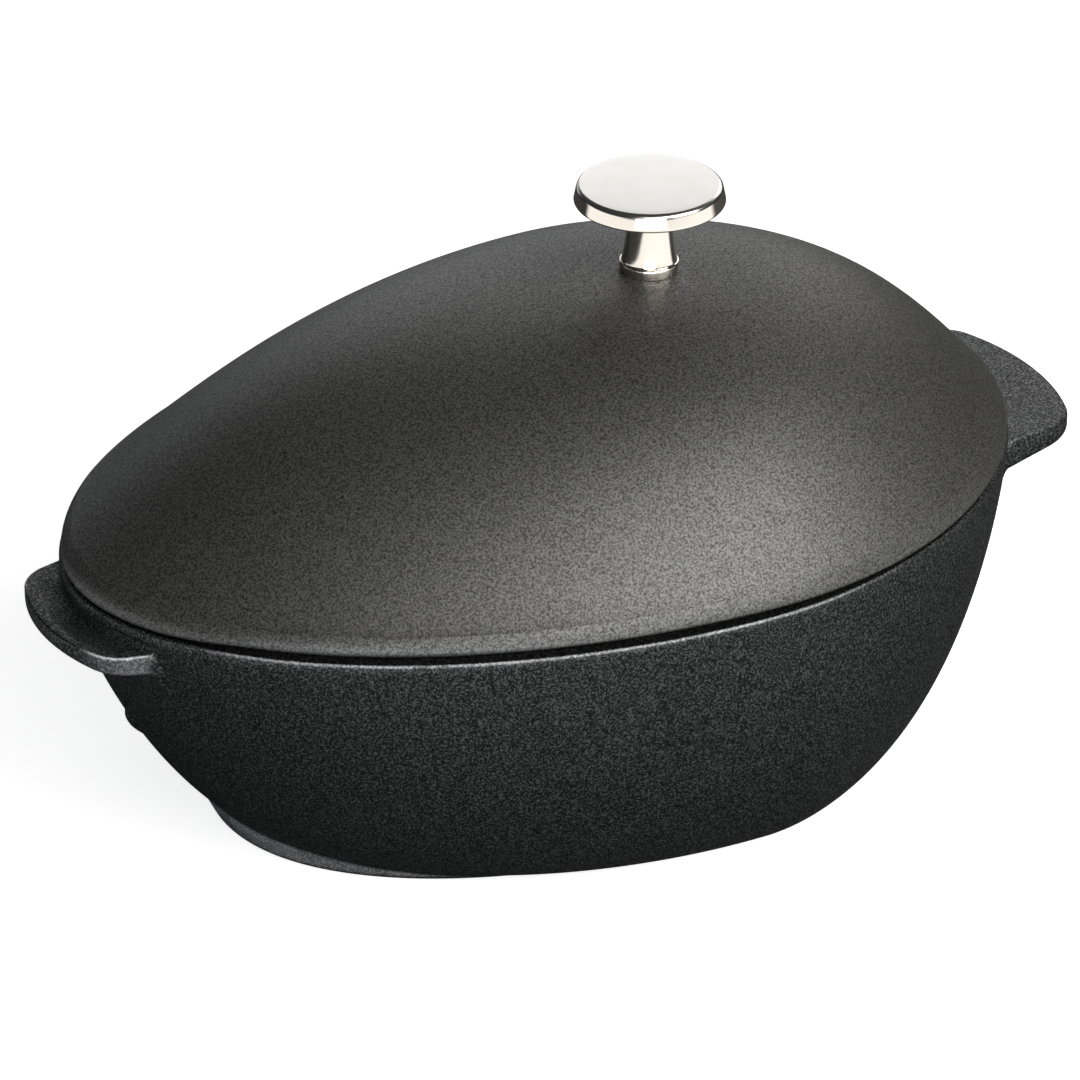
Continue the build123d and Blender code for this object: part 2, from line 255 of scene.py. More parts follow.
def smoothStep(value, low, high):
    t = np.clip((value - low) / (high - low), 0, 1)
    return t * t * (3 - 2 * t)


def blendMax(a, b, width):
    # The larger of two values, with a fillet of about that width where they cross.
    h = np.clip(1 - np.abs(a - b) / width, 0, 1)
    return np.maximum(a, b) + h * h * width / 4


def softPositive(value, width):
    # Nought well below nought and the value itself well above it, turning over that width.
    return (value + np.sqrt(value * value + width * width)) / 2


def alongSides(theta, rise, fall):
    # 0 at the broad end, 1 along the sides and 0 again at the narrow tip. It rises over a span of
    # the cosine of the angle from that tip, and falls over a span of 1 minus that cosine.
    cosine = -np.cos(theta)
    return smoothStep(cosine, *rise) * smoothStep(1 - cosine, *fall)


def column(values):
    # One value for each row of a grid.
    return np.asarray(values, float)[:, None]


def crowded(low, high, count, places):
    # Values from low to high whose steps get shorter round some places. The steps are the
    # inverse of a density: 1 plus a bell of the given width and height at each place.
    s = np.linspace(low, high, grid["samples"])
    density = np.ones_like(s)
    for where, width, height in places:
        density += height * np.exp(-(((s - where) / width) ** 2))
    total = np.concatenate([[0], np.cumsum((density[1:] + density[:-1]) / 2)])
    return np.interp(np.linspace(0, total[-1], count), total, s)


def polarGrid(centre, theta, groups):
    # Points round the axis at x = centre, rows by columns. Each group of rows gives its distances
    # from the axis, its heights and any marks, each for all of it, by row, by column or by point.
    spread = [np.broadcast_arrays(*group, theta[None])[:-1] for group in groups]
    radius, height, *marks = (np.vstack(parts) for parts in zip(*spread))
    points = np.stack([centre + radius * np.cos(theta), radius * np.sin(theta), height], axis=-1)
    return points, marks


def gridMesh(name, points, material, body, replaced,
             closedRows=False, poles=(), marks=None):
    # Skin over a grid of points, rows by columns, whose columns close round the axis. closedRows
    # joins the last row to the first. poles closes the first and last row to a point each. marks
    # are named grids of numbers, such as where painted highlights and painted shade go, kept as
    # attributes of the points.
    rows, cols = points.shape[:2]
    ids = np.arange(rows * cols).reshape(rows, cols)
    if closedRows:
        ids = np.vstack([ids, ids[:1]])
    near, far = ids, np.roll(ids, -1, axis=1)
    faces = np.stack([near[:-1], far[:-1], far[1:], near[1:]], axis=-1).reshape(-1, 4).tolist()
    verts = points.reshape(-1, 3)
    if len(poles):
        verts = np.vstack([verts, poles])
        first, last = rows * cols, rows * cols + 1
        faces += np.stack([np.full(cols, first), far[0], near[0]], axis=-1).tolist()
        faces += np.stack([np.full(cols, last), near[-1], far[-1]], axis=-1).tolist()
    mesh = bpy.data.meshes.new(name)
    mesh.from_pydata((verts * mm).tolist(), [], faces)
    mesh.shade_smooth()
    mesh.set_sharp_from_angle(angle=math.radians(grid["sharp"]))
    mesh.materials.append(material)
    for label, values in (marks or {}).items():
        held = mesh.attributes.new(label, "FLOAT", "POINT")
        held.data.foreach_set("value", np.concatenate([values.ravel(), np.zeros(len(poles))]))
    piece = bpy.data.objects.new(name, mesh)
    bpy.context.scene.collection.objects.link(piece)
    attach(piece, body)
    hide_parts(replaced)
    print(f"{name}: {len(mesh.polygons)} faces")


# Eggs. Each is six numbers: narrow end, broad end, widest place, half width, and how blunt the
# narrow and the broad end are (2 is an ellipse).
rim = {
    "length": 250.0,
    "height": 75.3,
    "egg": np.array([-125, 125, 15.4, 88.4, 1.89, 1.84]),
}
knobAt = 30.5  # x of the knob's axis


def inset(egg, distance):
    # The egg drawn in all round by a distance, or one egg for each of many distances.
    return egg + np.multiply.outer(distance, [1, -1, 0, -1, 0, 0])


def shrink(egg, share, centre):
    # The egg scaled about (centre, 0), with its ends as blunt as before.
    share = np.asarray(share)[..., None]
    placed, sized = np.array([1, 1, 1, 0, 0, 0]), np.array([1, 1, 1, 1, 0, 0])
    return egg * (1 - sized) + egg * sized * share + placed * centre * (1 - share)


def bend(t, blunt):
    # |t| to the power blunt, rounded off near nought so that the outline has no pinch there.
    e = grid["pinch"]
    return ((t * t + e * e) ** (blunt / 2) - e**blunt) / ((1 + e * e) ** (blunt / 2) - e**blunt)


def rayLength(outside, shape):
    # How far from its centre each ray leaves an outline. The span that holds the crossing is
    # halved again and again, by whether its middle is outside.
    low, high = np.zeros(shape), np.full(shape, grid["farthest"])
    for _ in range(grid["halvings"]):
        middle = (low + high) / 2
        out = outside(middle)
        low, high = np.where(out, low, middle), np.where(out, middle, high)
    return low


def eggRadius(egg, theta, centre):
    # How far the outline is from (centre, 0) in each direction. On each side of the widest place
    # it is bend(x / length) + bend(y / half width) = 1.
    narrow, broad, widest, half, bluntNarrow, bluntBroad = np.moveaxis(egg, -1, 0)

    def outside(r):
        x = centre + r * np.cos(theta) - widest
        y = r * np.sin(theta)
        length = np.where(x < 0, widest - narrow, broad - widest)
        blunt = np.where(x < 0, bluntNarrow, bluntBroad)
        return bend(x / length, blunt) + bend(y / half, blunt) > 1

    return rayLength(outside, np.broadcast(narrow, theta).shape)


# Pot
pot = {
    "centre": 15.0,  # where the rays of its grid start
    "floorEgg": np.array([-75.3, 93.7, 24.5, 64.8, 1.98, 1.53]),
    "upright": (1.3, 1.7, 3.32),  # how late the wall draws in: narrow end, broad end, sides
    "turn": 1.67,  # how round it turns into the floor
    "wall": 4.5,
    "floor": 5.0,
    "band": 1.8,  # how far the wall is upright below the rim
    "rimRound": 0.8,
    "openingRound": 0.7,
    "rimHighlight": (0.07, 0.35, 0.75, 0.75, 0.45, 0.07, 0),  # painted highlight by row, round the rim's outer edge
    # painted shade: rows of the rim under the lid's edge that are painted dark
    "rimShadeUnderLid": (0, 0, 0, 0, 0, 1, 1),
    "rimShown": ((-0.5, 0.1), (0.03, 0.07)),  # spans for alongSides: where that painted highlight shows
    "padEgg": np.array([-87.4, 92.9, 24.5, 63.5, 2.1, 1.53]),  # where it stands
    "padTopEgg": np.array([-89.8, 92.9, 24.5, 65.3, 2.1, 1.53]),
    "padHeight": 5.0,
    "padLimit": 16.0,  # height above which it is surely inside the wall
    "padRound": 0.9,
    "padFillet": (0.4, 1.2),  # to the wall, and how much more at the narrow end
    # painted light: the pad's band is painted pale where it stands out
    "padLight": 0.62,
    "padShown": (0.0, 1.2),  # how far it stands out where that starts and is full
    "padStart": (0.5, 2.0),  # and at what height
    "earsBelowRim": 5.1,
    "earZone": (57.5, 72.0),  # heights of the wall between which the ears grow
    "stub": {
        "height": 36.6,
        "radius": 5.0,
        "proud": 1.5,
        "soft": 0.25,
        "rows": 13,
        "rowSpan": 4.5,  # above and below its middle
        "rowGap": 4.9,  # within which the wall's own rows are left out
    },
    "columns": 480,
    "crowdedAt": [
        # angle, width and height of the bell: the ears' corners and the stub
        (np.pi - 0.19, 0.03, 5),
        (np.pi + 0.19, 0.03, 5),
        (0.265, 0.035, 5),
        (2 * np.pi - 0.265, 0.035, 5),
        (np.pi, 0.03, 2),
    ],
    "undersideShares": (0.12, 0.3, 0.5, 0.7, 0.85, 0.93, 0.97, 0.99),
    "wallAngles": (0.02, np.pi / 2, 64),  # the wall's rows lie as 1 - cos of these, from the foot
    "bandRows": (72.7, 73.4),
    "innerAngles": (0.02, np.pi / 2 - 0.01, 34),  # the inner wall's lie as sin, from the rim
    "floorShares": (0.985, 0.93, 0.8, 0.6, 0.4, 0.2),
}
ears = [
    {
        "side": -1,
        "reach": 8.95,
        "rootHalf": 30.7,
        "tipHalf": 24.0,
        "arch": 6.2,  # how far its tip is arched
        "corner": 3.8,
        "atWall": 4.8,  # thickness
        "atLip": 4.1,
        "edgeRound": 0.8,
        "dish": 1.1,
        "topLight": 0.02,  # painted light on the top
        "rubbed": (0.2, 2.4),  # painted light on the side, painted highlight on the upper edge
    },
    {
        "side": 1,
        "reach": 18.45,
        "rootHalf": 34.7,
        "tipHalf": 29.3,
        "arch": 7.1,
        "corner": 5.2,
        "atWall": 6.9,
        "atLip": 4.2,
        "edgeRound": 0.9,
        "dish": 0.0,
        "topLight": 0.09,
        "rubbed": (0.0, 0.12),
    },
]
bothEars = {
    "rootDepth": 25.0,  # how far inside the rim's end the straight sides start
    "fillet": 1.6,
    "window": 1.1,  # radians from an ear's middle within which it is worked out
    "soft": 1.2,  # blends its outline into the wall's
    "start": (0.15, 2.2),  # how far it stands out where its rows leave the plain wall for it
    "rows": (13, 6, 16),  # underside, each half of the round edge, top
    "rowPowers": (1.7, 0.8),  # crowd those of the underside and the top towards the wall
    "lipRow": 3,  # the upper edge with the painted highlight, in rows down from the top
    "dishMiddle": 1.0,  # past the rim's end
    "dishLength": 0.62,  # half of it, as a share of the reach
    "dishMargin": 4.0,  # from the dish to the ear's sides
    "dishPower": 1.3,
    "rubbedFrom": (14, 22),  # half widths between which the painted light of the edge starts
    "lightReach": (0.5, 3),  # how far it stands out where any painted light starts and is full
}


def drawIn(depth, upright):
    # Share by which the wall has drawn in at a depth: 0 at the rim, 1 where it meets the floor.
    return 1 - (1 - np.clip(depth, 0, 1) ** upright) ** (1 / pot["turn"])


def bowlEgg(top, bottom, depth):
    # Outline of the bowl at each depth, from 0 at the rim to 1 at the floor.
    narrow, broad, sides = (drawIn(depth, upright) for upright in pot["upright"])
    shares = np.stack([narrow, broad, depth, sides, depth, depth], axis=-1)
    return mix(top, bottom, shares)


def bowlAndPad(height, theta):
    # Distances of the bowl's outside and of the foot's pad from the grid's centre. The bowl runs
    # on down to the table inside the pad. The pad leans out from where it stands to its top, and
    # its lower edge is rounded.
    depth = np.maximum(1 - height / rim["height"], pot["band"] / rim["height"])
    bowl = eggRadius(bowlEgg(rim["egg"], pot["floorEgg"], depth), theta, pot["centre"])
    lift = np.clip(1 - height / pot["padRound"], 0, 1)
    cut = pot["padRound"] * (1 - np.sqrt(1 - lift * lift))
    lean = np.clip(height / pot["padHeight"], 0, 1)[..., None]
    pad = eggRadius(mix(pot["padEgg"], pot["padTopEgg"], lean), theta, pot["centre"]) - cut
    return bowl, np.where(height < pot["padLimit"], pad, 0)


def outerRadius(height, theta):
    # Bowl and pad as one, with a fillet between them that is largest at the narrow end.
    bowl, pad = bowlAndPad(height, theta)
    plain, more = pot["padFillet"]
    return blendMax(bowl, pad, plain + more * np.clip(-np.cos(theta), 0, 1))


def earRadius(ear, theta, depth):
    # How far the ear's outline, drawn in by a depth, is from the grid's centre in each direction.
    # The outline is where its straight sides and the arc of its tip meet, with a round corner.
    tip = rim["length"] / 2 + ear["reach"]
    cornerX = tip - ear["arch"]
    rootX = rim["length"] / 2 - bothEars["rootDepth"]
    run, rise = cornerX - rootX, ear["rootHalf"] - ear["tipHalf"]
    arc = (ear["tipHalf"] ** 2 + ear["arch"] ** 2) / (2 * ear["arch"])

    def outside(r):
        x = ear["side"] * (pot["centre"] + r * np.cos(theta))
        y = np.abs(r * np.sin(theta))
        beside = ((x - cornerX) * rise + (y - ear["tipHalf"]) * run) / math.hypot(run, rise)
        beyond = np.hypot(x - (tip - arc), y) - arc
        u, v = beside + ear["corner"], beyond + ear["corner"]
        distance = np.hypot(np.maximum(u, 0), np.maximum(v, 0)) + np.minimum(np.maximum(u, v), 0)
        return distance - ear["corner"] > -depth

    return rayLength(outside, np.broadcast(depth, theta).shape)


def earRows(theta, s):
    # Rows from the wall under the ears, out along their undersides, round their edges and back
    # along their tops to the rim's band. Where there is no ear the rows climb the plain wall.
    # share is how far out each row is, from the wall to the edge, and drawn how far the round of
    # the edge has drawn it in.
    under, edge, over = s["rows"]
    turn = np.linspace(0, np.pi / 2, edge)
    outward = np.linspace(0, 1, under + 1)[:-1] ** s["rowPowers"][0]
    inward = np.linspace(0, 1, over + 1)[1:] ** s["rowPowers"][1]
    share = column([*outward, *np.ones(2 * edge), *(1 - inward)])
    drawn = column([*np.ones(under), *(1 - np.sin(turn)), *(1 - np.cos(turn)), *np.ones(over)])
    row = column(range(len(share)))
    lip = under + 2 * edge - s["lipRow"]
    top = rim["height"] - pot["earsBelowRim"]
    wallAt = outerRadius(column([top]), theta)

    height = column(np.linspace(*pot["earZone"], len(share) + 2)[1:-1])
    radius = outerRadius(height, theta)
    wornAndLit = np.zeros_like(radius)
    for ear in ears:
        near = ear["side"] * np.cos(theta) > math.cos(s["window"])
        outline = earRadius(ear, theta, drawn * ear["edgeRound"])
        reach = softPositive(outline - wallAt, s["soft"]) * near
        here = smoothStep(reach[under + edge], *s["start"])
        x = ear["side"] * (pot["centre"] + (wallAt + share * reach) * np.cos(theta))
        y = np.abs((wallAt + share * reach) * np.sin(theta))

        tip = rim["length"] / 2 + ear["reach"]
        slope = (ear["atWall"] - ear["atLip"]) / ear["reach"]
        underside = top - ear["atLip"] - slope * (tip - x)
        gone = np.clip(1 - share * reach / s["fillet"], 0, 1)
        fillet = s["fillet"] * (1 - np.sqrt(1 - gone * gone))
        dishX = (x - rim["length"] / 2 - s["dishMiddle"]) / (s["dishLength"] * ear["reach"])
        dishY = y / (ear["tipHalf"] - s["dishMargin"])
        hollow = ear["dish"] * np.clip(1 - dishX**2 - dishY**2, 0, 1) ** s["dishPower"]
        earHeight = np.vstack([
            (underside - fillet)[:under],
            underside[under:under + edge] + ear["edgeRound"] * column(1 - np.cos(turn)),
            top - ear["edgeRound"] * column(1 - np.sin(turn)) + 0 * theta,
            (top + fillet - hollow)[under + 2 * edge:],
        ])

        # Painted light: the side face and the top are painted lighter, and the upper edge gets a
        # painted highlight.
        side = ear["rubbed"][0] * ((row > under) & (row < lip))
        upperEdge = ear["rubbed"][1] * np.exp(-((row - lip) ** 2))
        rubbed = np.maximum(side, upperEdge) * smoothStep(y, *s["rubbedFrom"])
        topLight = ear["topLight"] * (row > lip + 1)
        shown = here * smoothStep(reach, *s["lightReach"])
        wornAndLit = np.maximum(wornAndLit, np.maximum(rubbed, topLight) * shown)
        height = mix(height, earHeight, here)
        radius = mix(radius, wallAt, here) + share * reach
    return radius, height, wornAndLit


def potPoints(s):
    # Polar grid: the underside, the pad and wall, the ears, the rim, the inner wall and the floor.
    # Its marks say where a pale colour is painted on as highlight and light, and where the rim
    # under the lid's edge is painted dark as shade.
    theta = crowded(0, 2 * np.pi, s["columns"] + 1, s["crowdedAt"])[:-1]
    foot = outerRadius(column([0]), theta)

    stub = s["stub"]
    rows = s["earZone"][0] * (1 - np.cos(np.linspace(*s["wallAngles"])))
    rows = rows[np.abs(rows - stub["height"]) > stub["rowGap"]]
    span = (stub["height"] - stub["rowSpan"], stub["height"] + stub["rowSpan"])
    rows = column(np.sort([*rows, *np.linspace(*span, stub["rows"])]))
    wall = outerRadius(rows, theta)
    offset = np.hypot(wall * np.sin(theta), rows - stub["height"])
    ball = np.sqrt(np.maximum(stub["radius"] ** 2 - offset**2, 0)) - stub["radius"] + stub["proud"]
    wall = wall + softPositive(ball, stub["soft"]) * (np.cos(theta) < 0)
    bowl, pad = bowlAndPad(rows, theta)
    padShown = smoothStep(pad - bowl, *s["padShown"]) * smoothStep(rows, *s["padStart"])

    turn = column(np.linspace(0, np.pi / 2, len(s["rimHighlight"])))
    rimRadius = outerRadius(column([rim["height"]]), theta)
    rimTurn = rimRadius - s["rimRound"] * (1 - np.cos(turn))
    # Painted highlight: a pale line along the rim's rounded outer edge, where it shows.
    rimLit = column(s["rimHighlight"]) * alongSides(theta, *s["rimShown"])
    openingEgg = inset(rim["egg"], s["wall"])
    opening = eggRadius(openingEgg, theta, s["centre"])
    openingTurn = opening + s["openingRound"] * (1 - np.sin(turn))
    rimHeight = rim["height"] - s["rimRound"] * (1 - np.sin(turn))
    openingHeight = rim["height"] - s["openingRound"] * (1 - np.cos(turn))

    depth = column(np.sin(np.linspace(*s["innerAngles"])))
    inner = eggRadius(bowlEgg(openingEgg, s["floorEgg"], depth), theta, s["centre"])
    innerTop = rim["height"] - s["openingRound"]
    floorEdge = eggRadius(s["floorEgg"], theta, s["centre"])
    points, marks = polarGrid(s["centre"], theta, [
        # distances, heights, painted highlight and light, and painted shade under the lid
        (foot * column(s["undersideShares"]), 0, 0, 0),
        # the pad's band painted pale as light
        (wall, rows, s["padLight"] * padShown, 0),
        (*earRows(theta, bothEars), 0),
        (rimRadius, column(s["bandRows"]), 0, 0),
        (rimTurn, rimHeight, rimLit, column(s["rimShadeUnderLid"])),
        (mix(rimTurn[-1:], openingTurn[:1], 0.5), rim["height"], 0, 1),
        (openingTurn, openingHeight, 0, 1),
        (np.minimum(inner, opening), mix(innerTop, s["floor"], depth), 0, 0),
        (floorEdge * column(s["floorShares"]), s["floor"], 0, 0),
    ])
    return points, dict(zip(("wornAndLit", "seat"), marks))


# Lid
lid = {
    "seam": (0.4, 1.9),  # height of the gap over the rim, where it is closed and along the sides
    "seamOpen": ((-0.55, 0.4), (0.004, 0.06)),  # spans for alongSides, as rimShown's
    "seamDepth": 4.0,
    "seamRound": 0.2,
    "seamRise": 0.1,  # how much higher it is at its edge than inside
    "edgeShare": 0.995,  # of the rim's egg
    "edgeRound": 0.7,
    "edgeRows": 6,
    "shoulderShare": 0.975,
    "shoulderRows": 12,
    "roll": (1.25, 2.2),  # power by which the shoulder leans in: along the sides, at the ends
    "rollEnds": (0.55, 0.95),  # cosine from either end where that changes
    "footAboveRim": 6.4,  # where the dome starts
    "domeRise": 43.2,
    "domePower": 2.85,
    "domeCrown": 1.1,
    "domeRows": 65,
    "wall": 4.0,
    "hollowShare": 0.16,  # of the way from the knob's axis to its foot, where its rows start
    "hollowRows": 43,
    "throatDrop": 1.0,  # below the hollow's foot
    "lipDepth": 3.5,
    "lipWidth": 3.0,
    "lipPlay": 1.0,  # from the pot's inner wall
    "lipRound": 0.4,
    "lipCorner": 0.3,
    "seatShare": 0.1,  # of that way, where the dome meets the knob's flat seat
    "seatInside": 7.0,  # radius of a ring on it, and on the boss under it
    "bossHalf": 11.0,
    "bossHeight": 2.0,
    "bossRound": 0.5,
    "holeHalf": 3.4,
    "holeRound": 0.3,
    "columns": 480,
}
domeFoot = rim["height"] + lid["footAboveRim"]
domeTop = domeFoot + lid["domeRise"]
bossFoot = domeTop - lid["wall"] - lid["bossHeight"]


def domeHeight(share, rise):
    # Height of the dome over its foot, where share is 0 at the knob and 1 at the foot.
    return rise * (1 - share ** lid["domePower"]) ** lid["domeCrown"]


knobSeat = domeFoot + domeHeight(lid["seatShare"], lid["domeRise"])


def lidPoints(s):
    # Polar grid, closed both ways: from the hole's lower edge out under the dome, round the
    # locating lip, the seat, the seam and the edge, and back over the shoulder and dome to the
    # hole's upper edge.
    theta = np.linspace(0, 2 * np.pi, s["columns"] + 1)[:-1]

    def loops(egg):
        return eggRadius(egg, theta, knobAt)

    hole, holeEdge = s["holeHalf"], s["holeHalf"] + s["holeRound"]
    boss = column([hole, holeEdge, s["seatInside"], s["bossHalf"] - s["bossRound"], s["bossHalf"]])
    bossHeight = bossFoot + column([s["holeRound"], 0, 0, 0, s["bossRound"]])

    # The hollow is the dome drawn in by the wall, which stands at 45 degrees at its foot.
    shoulderEgg = shrink(rim["egg"], s["shoulderShare"], knobAt)
    lean = s["wall"] * math.sqrt(0.5)
    hollowFoot = domeFoot - lean
    hollowRise = domeTop - s["wall"] - hollowFoot
    spread = np.sin(np.linspace(0, np.pi / 2, s["hollowRows"] + 1))[:-1]
    under = column(mix(s["hollowShare"], 1, spread))
    locatingEgg = inset(rim["egg"], pot["wall"] + s["lipPlay"])
    throat = loops(inset(locatingEgg, s["lipWidth"]))
    hollow = np.minimum(loops(shrink(inset(shoulderEgg, lean), under, knobAt)), throat)
    hollowHeight = hollowFoot + domeHeight(under, hollowRise)

    turn = np.linspace(0, np.pi / 2, s["edgeRows"])
    turnIn, turnUp = s["edgeRound"] * (1 - np.sin(turn)), s["edgeRound"] * (1 - np.cos(turn))
    lipFoot = rim["height"] - s["lipDepth"]
    throatHeight = [hollowFoot - s["throatDrop"], rim["height"], lipFoot + s["lipRound"]]
    lipEnd = loops(inset(locatingEgg, column([s["lipWidth"] - s["lipRound"], *turnIn])))
    lipHeight = [rim["height"] - s["lipCorner"], rim["height"]]
    seat = loops(inset(rim["egg"], column([s["seamDepth"] + s["seamRound"], s["seamDepth"]])))

    edgeFoot = rim["height"] + mix(*s["seam"], alongSides(theta, *s["seamOpen"]))
    edgeLow = loops(inset(shrink(rim["egg"], s["edgeShare"], knobAt), column(turnIn)))
    climb = column(np.linspace(0, 1, s["shoulderRows"] + 1)[1:])
    roll = mix(*s["roll"], smoothStep(np.abs(np.cos(theta)), *s["rollEnds"]))
    shoulderShare = mix(s["edgeShare"], s["shoulderShare"], climb**roll)
    shoulder = loops(shrink(rim["egg"], shoulderShare, knobAt))
    spread = np.cos(np.linspace(0, np.pi / 2, s["domeRows"] + 1))[1:]
    over = column(mix(s["seatShare"], 1, spread))
    dome = loops(shrink(shoulderEgg, over, knobAt))

    return polarGrid(knobAt, theta, [
        # distances and heights
        (boss, bossHeight),
        (hollow, hollowHeight),
        (throat, column(throatHeight)),
        (lipEnd, column([lipFoot, *(lipFoot + turnUp)])),
        (loops(locatingEgg), column(lipHeight)),
        (seat, column([rim["height"], rim["height"] + s["seamRound"]])),
        (seat[1:], edgeFoot - s["seamRise"]),
        (edgeLow, edgeFoot + column(turnUp)),
        (shoulder, mix(edgeFoot + s["edgeRound"], domeFoot, climb)),
        (dome, domeFoot + domeHeight(over, s["domeRise"])),
        (column([s["seatInside"], holeEdge, hole]), knobSeat - column([0, 0, s["holeRound"]])),
    ])[0]


# Knob
knob = {
    "height": 23.2,  # over its seat on the lid, as all its heights
    "cap": 18.55,  # radius
    "capThickness": 4.9,
    "capTurnTop": (1.25, 1.0),  # how far in and how far down its upper edge turns
    "capTurnFoot": (2.3, 1.0),  # how far in and how far up its lower edge does
    "capLean": 0.6,
    "faceCrown": 0.4,
    "facePower": 0.8,  # crowds the face's rows towards its middle
    "stemTop": 5.45,  # radii
    "stemFoot": 6.9,
    "stemNeck": 2.2,  # how far below the cap it is thinnest
    "collar": 7.4,  # radius
    "collarHeight": 2.7,
    "collarFootRound": (0.25, 0.07),  # to each side of the corner, and at its middle
    "collarTopRound": (0.35, 0.1),
    "bore": 3.05,  # radius
    "boreDepth": 13.0,
    "boreRound": 0.1,
    "boreChamfer": 0.3,
    "boreTip": 0.6,  # radius of the first ring round its pole
    "gap": 0.02,  # between the collar's last ring and the stem's first
    # rings, and the ways in which each curve starts and ends
    "stemCurve": (22, (-2.2, 9), (0, 12)),
    "flareCurve": (26, (0, 4.4), (14, 1.2)),
    "lowCurve": (11, (3.68, 0.1), (-0.1, 1.6)),
    "highCurve": (11, (-0.3, 1.6), (-1.875, 0.05)),
    "sideRings": 6,
    "faceRings": 12,
    "columns": 160,
}


def hermite(start, end, count, startWay, endWay):
    # Cubic curve from start to end that leaves and arrives along the two given ways.
    t = np.linspace(0, 1, count)[:, None]
    a, b, u, v = (np.array(p, float) for p in (start, end, startWay, endWay))
    return ((2 * t**3 - 3 * t**2 + 1) * a + (t**3 - 2 * t**2 + t) * u
            + (3 * t**2 - 2 * t**3) * b + (t**3 - t**2) * v)


def knobPoints(s):
    # Profile of radius and height turned round the knob's axis: bore, collar, waisted stem, and
    # a cap whose side leans in a little, between two rounded edges, up to a slightly crowned face.
    inside, deep = s["bore"], s["boreDepth"]
    small, edge = s["boreRound"], s["boreChamfer"]
    bore = [(s["boreTip"], deep), (inside - small, deep), (inside, deep - small),
            (inside, edge), (inside + edge, 0)]
    out, top = s["collar"], s["collarHeight"]
    low, lowMiddle = s["collarFootRound"]
    high, highMiddle = s["collarTopRound"]
    collar = [(out - low, 0), (out - lowMiddle, lowMiddle), (out, low), (out, top / 2),
              (out, top - high), (out - highMiddle, top - highMiddle), (out - high, top),
              (s["stemFoot"] + s["gap"], top)]

    faceEdge = s["height"] - s["faceCrown"]
    capFoot = faceEdge - s["capThickness"]
    sideFoot = (s["cap"], capFoot + s["capTurnFoot"][1])
    sideTop = (s["cap"] - s["capLean"], faceEdge - s["capTurnTop"][1])
    faceRadius = sideTop[0] - s["capTurnTop"][0]
    neck = (s["stemTop"], capFoot - s["stemNeck"])
    flareTop = (s["cap"] - s["capTurnFoot"][0], capFoot)
    stem = hermite((s["stemFoot"], top + s["gap"]), neck, *s["stemCurve"])
    flare = hermite(neck, flareTop, *s["flareCurve"])[1:]
    lowTurn = hermite(flareTop, sideFoot, *s["lowCurve"])[1:]
    climb = column(np.linspace(0, 1, s["sideRings"] + 1)[1:])
    side = mix(np.array(sideFoot), np.array(sideTop), climb)
    highTurn = hermite(sideTop, (faceRadius, faceEdge), *s["highCurve"])[1:]
    inward = column(np.linspace(0, 1, s["faceRings"] + 2)[1:-1]) ** s["facePower"]
    crown = s["height"] - s["faceCrown"] * (1 - inward) ** 2
    face = np.hstack([faceRadius * (1 - inward), crown])
    profile = np.vstack([bore, collar, stem, flare, lowTurn, side, highTurn, face])
    theta = np.linspace(0, 2 * np.pi, s["columns"] + 1)[:-1]
    return polarGrid(knobAt, theta, [(profile[:, :1], knobSeat + profile[:, 1:])])[0]


# Materials
def makeCastGrain():
    # Matt enamel sprayed on a casting: fine bumps with dark pits between them, and slow waves.
    # Speckle is 1 on the bumps and 0 in the pits, and crisper the closer Low and High are.
    inputs = {"Vector": None, "Bumps per m": 1800, "Waves per m": 90, "Low": 0.4, "High": 0.6}
    group, given, result = newGroup("castGrain", inputs, ["Speckle", "Height", "Waves"])
    fine = addNode(group, "ShaderNodeTexNoise", {
        "Vector": given["Vector"], "Scale": given["Bumps per m"], "Detail": 4.0, "Roughness": 0.8})
    waves = addNode(group, "ShaderNodeTexNoise", {
        "Vector": given["Vector"], "Scale": given["Waves per m"], "Detail": 1.0})
    speckle = remap(group, fine.outputs["Fac"], given["Low"], given["High"])
    group.links.new(speckle, result["Speckle"])
    group.links.new(fine.outputs["Fac"], result["Height"])
    group.links.new(waves.outputs["Fac"], result["Waves"])
    return group


def makeRubbedMetal():
    # Metal that has been turned or drawn: fine lines that run the way in which Line Vector
    # changes least, and cloudy wear. Both are 0 to 1.
    inputs = {"Vector": None, "Line Vector": None, "Lines per m": 4000, "Clouds per m": 150}
    group, given, result = newGroup("rubbedMetal", inputs, ["Lines", "Wear"])
    lines = addNode(group, "ShaderNodeTexNoise", {
        "Vector": given["Line Vector"], "Scale": given["Lines per m"], "Detail": 2.0})
    clouds = addNode(group, "ShaderNodeTexNoise", {
        "Vector": given["Vector"], "Scale": given["Clouds per m"], "Detail": 3.0})
    wear = remap(group, clouds.outputs["Fac"], 0.4, 0.65)
    group.links.new(lines.outputs["Fac"], result["Lines"])
    group.links.new(wear, result["Wear"])
    return group


castGrain = makeCastGrain()
rubbedMetal = makeRubbedMetal()


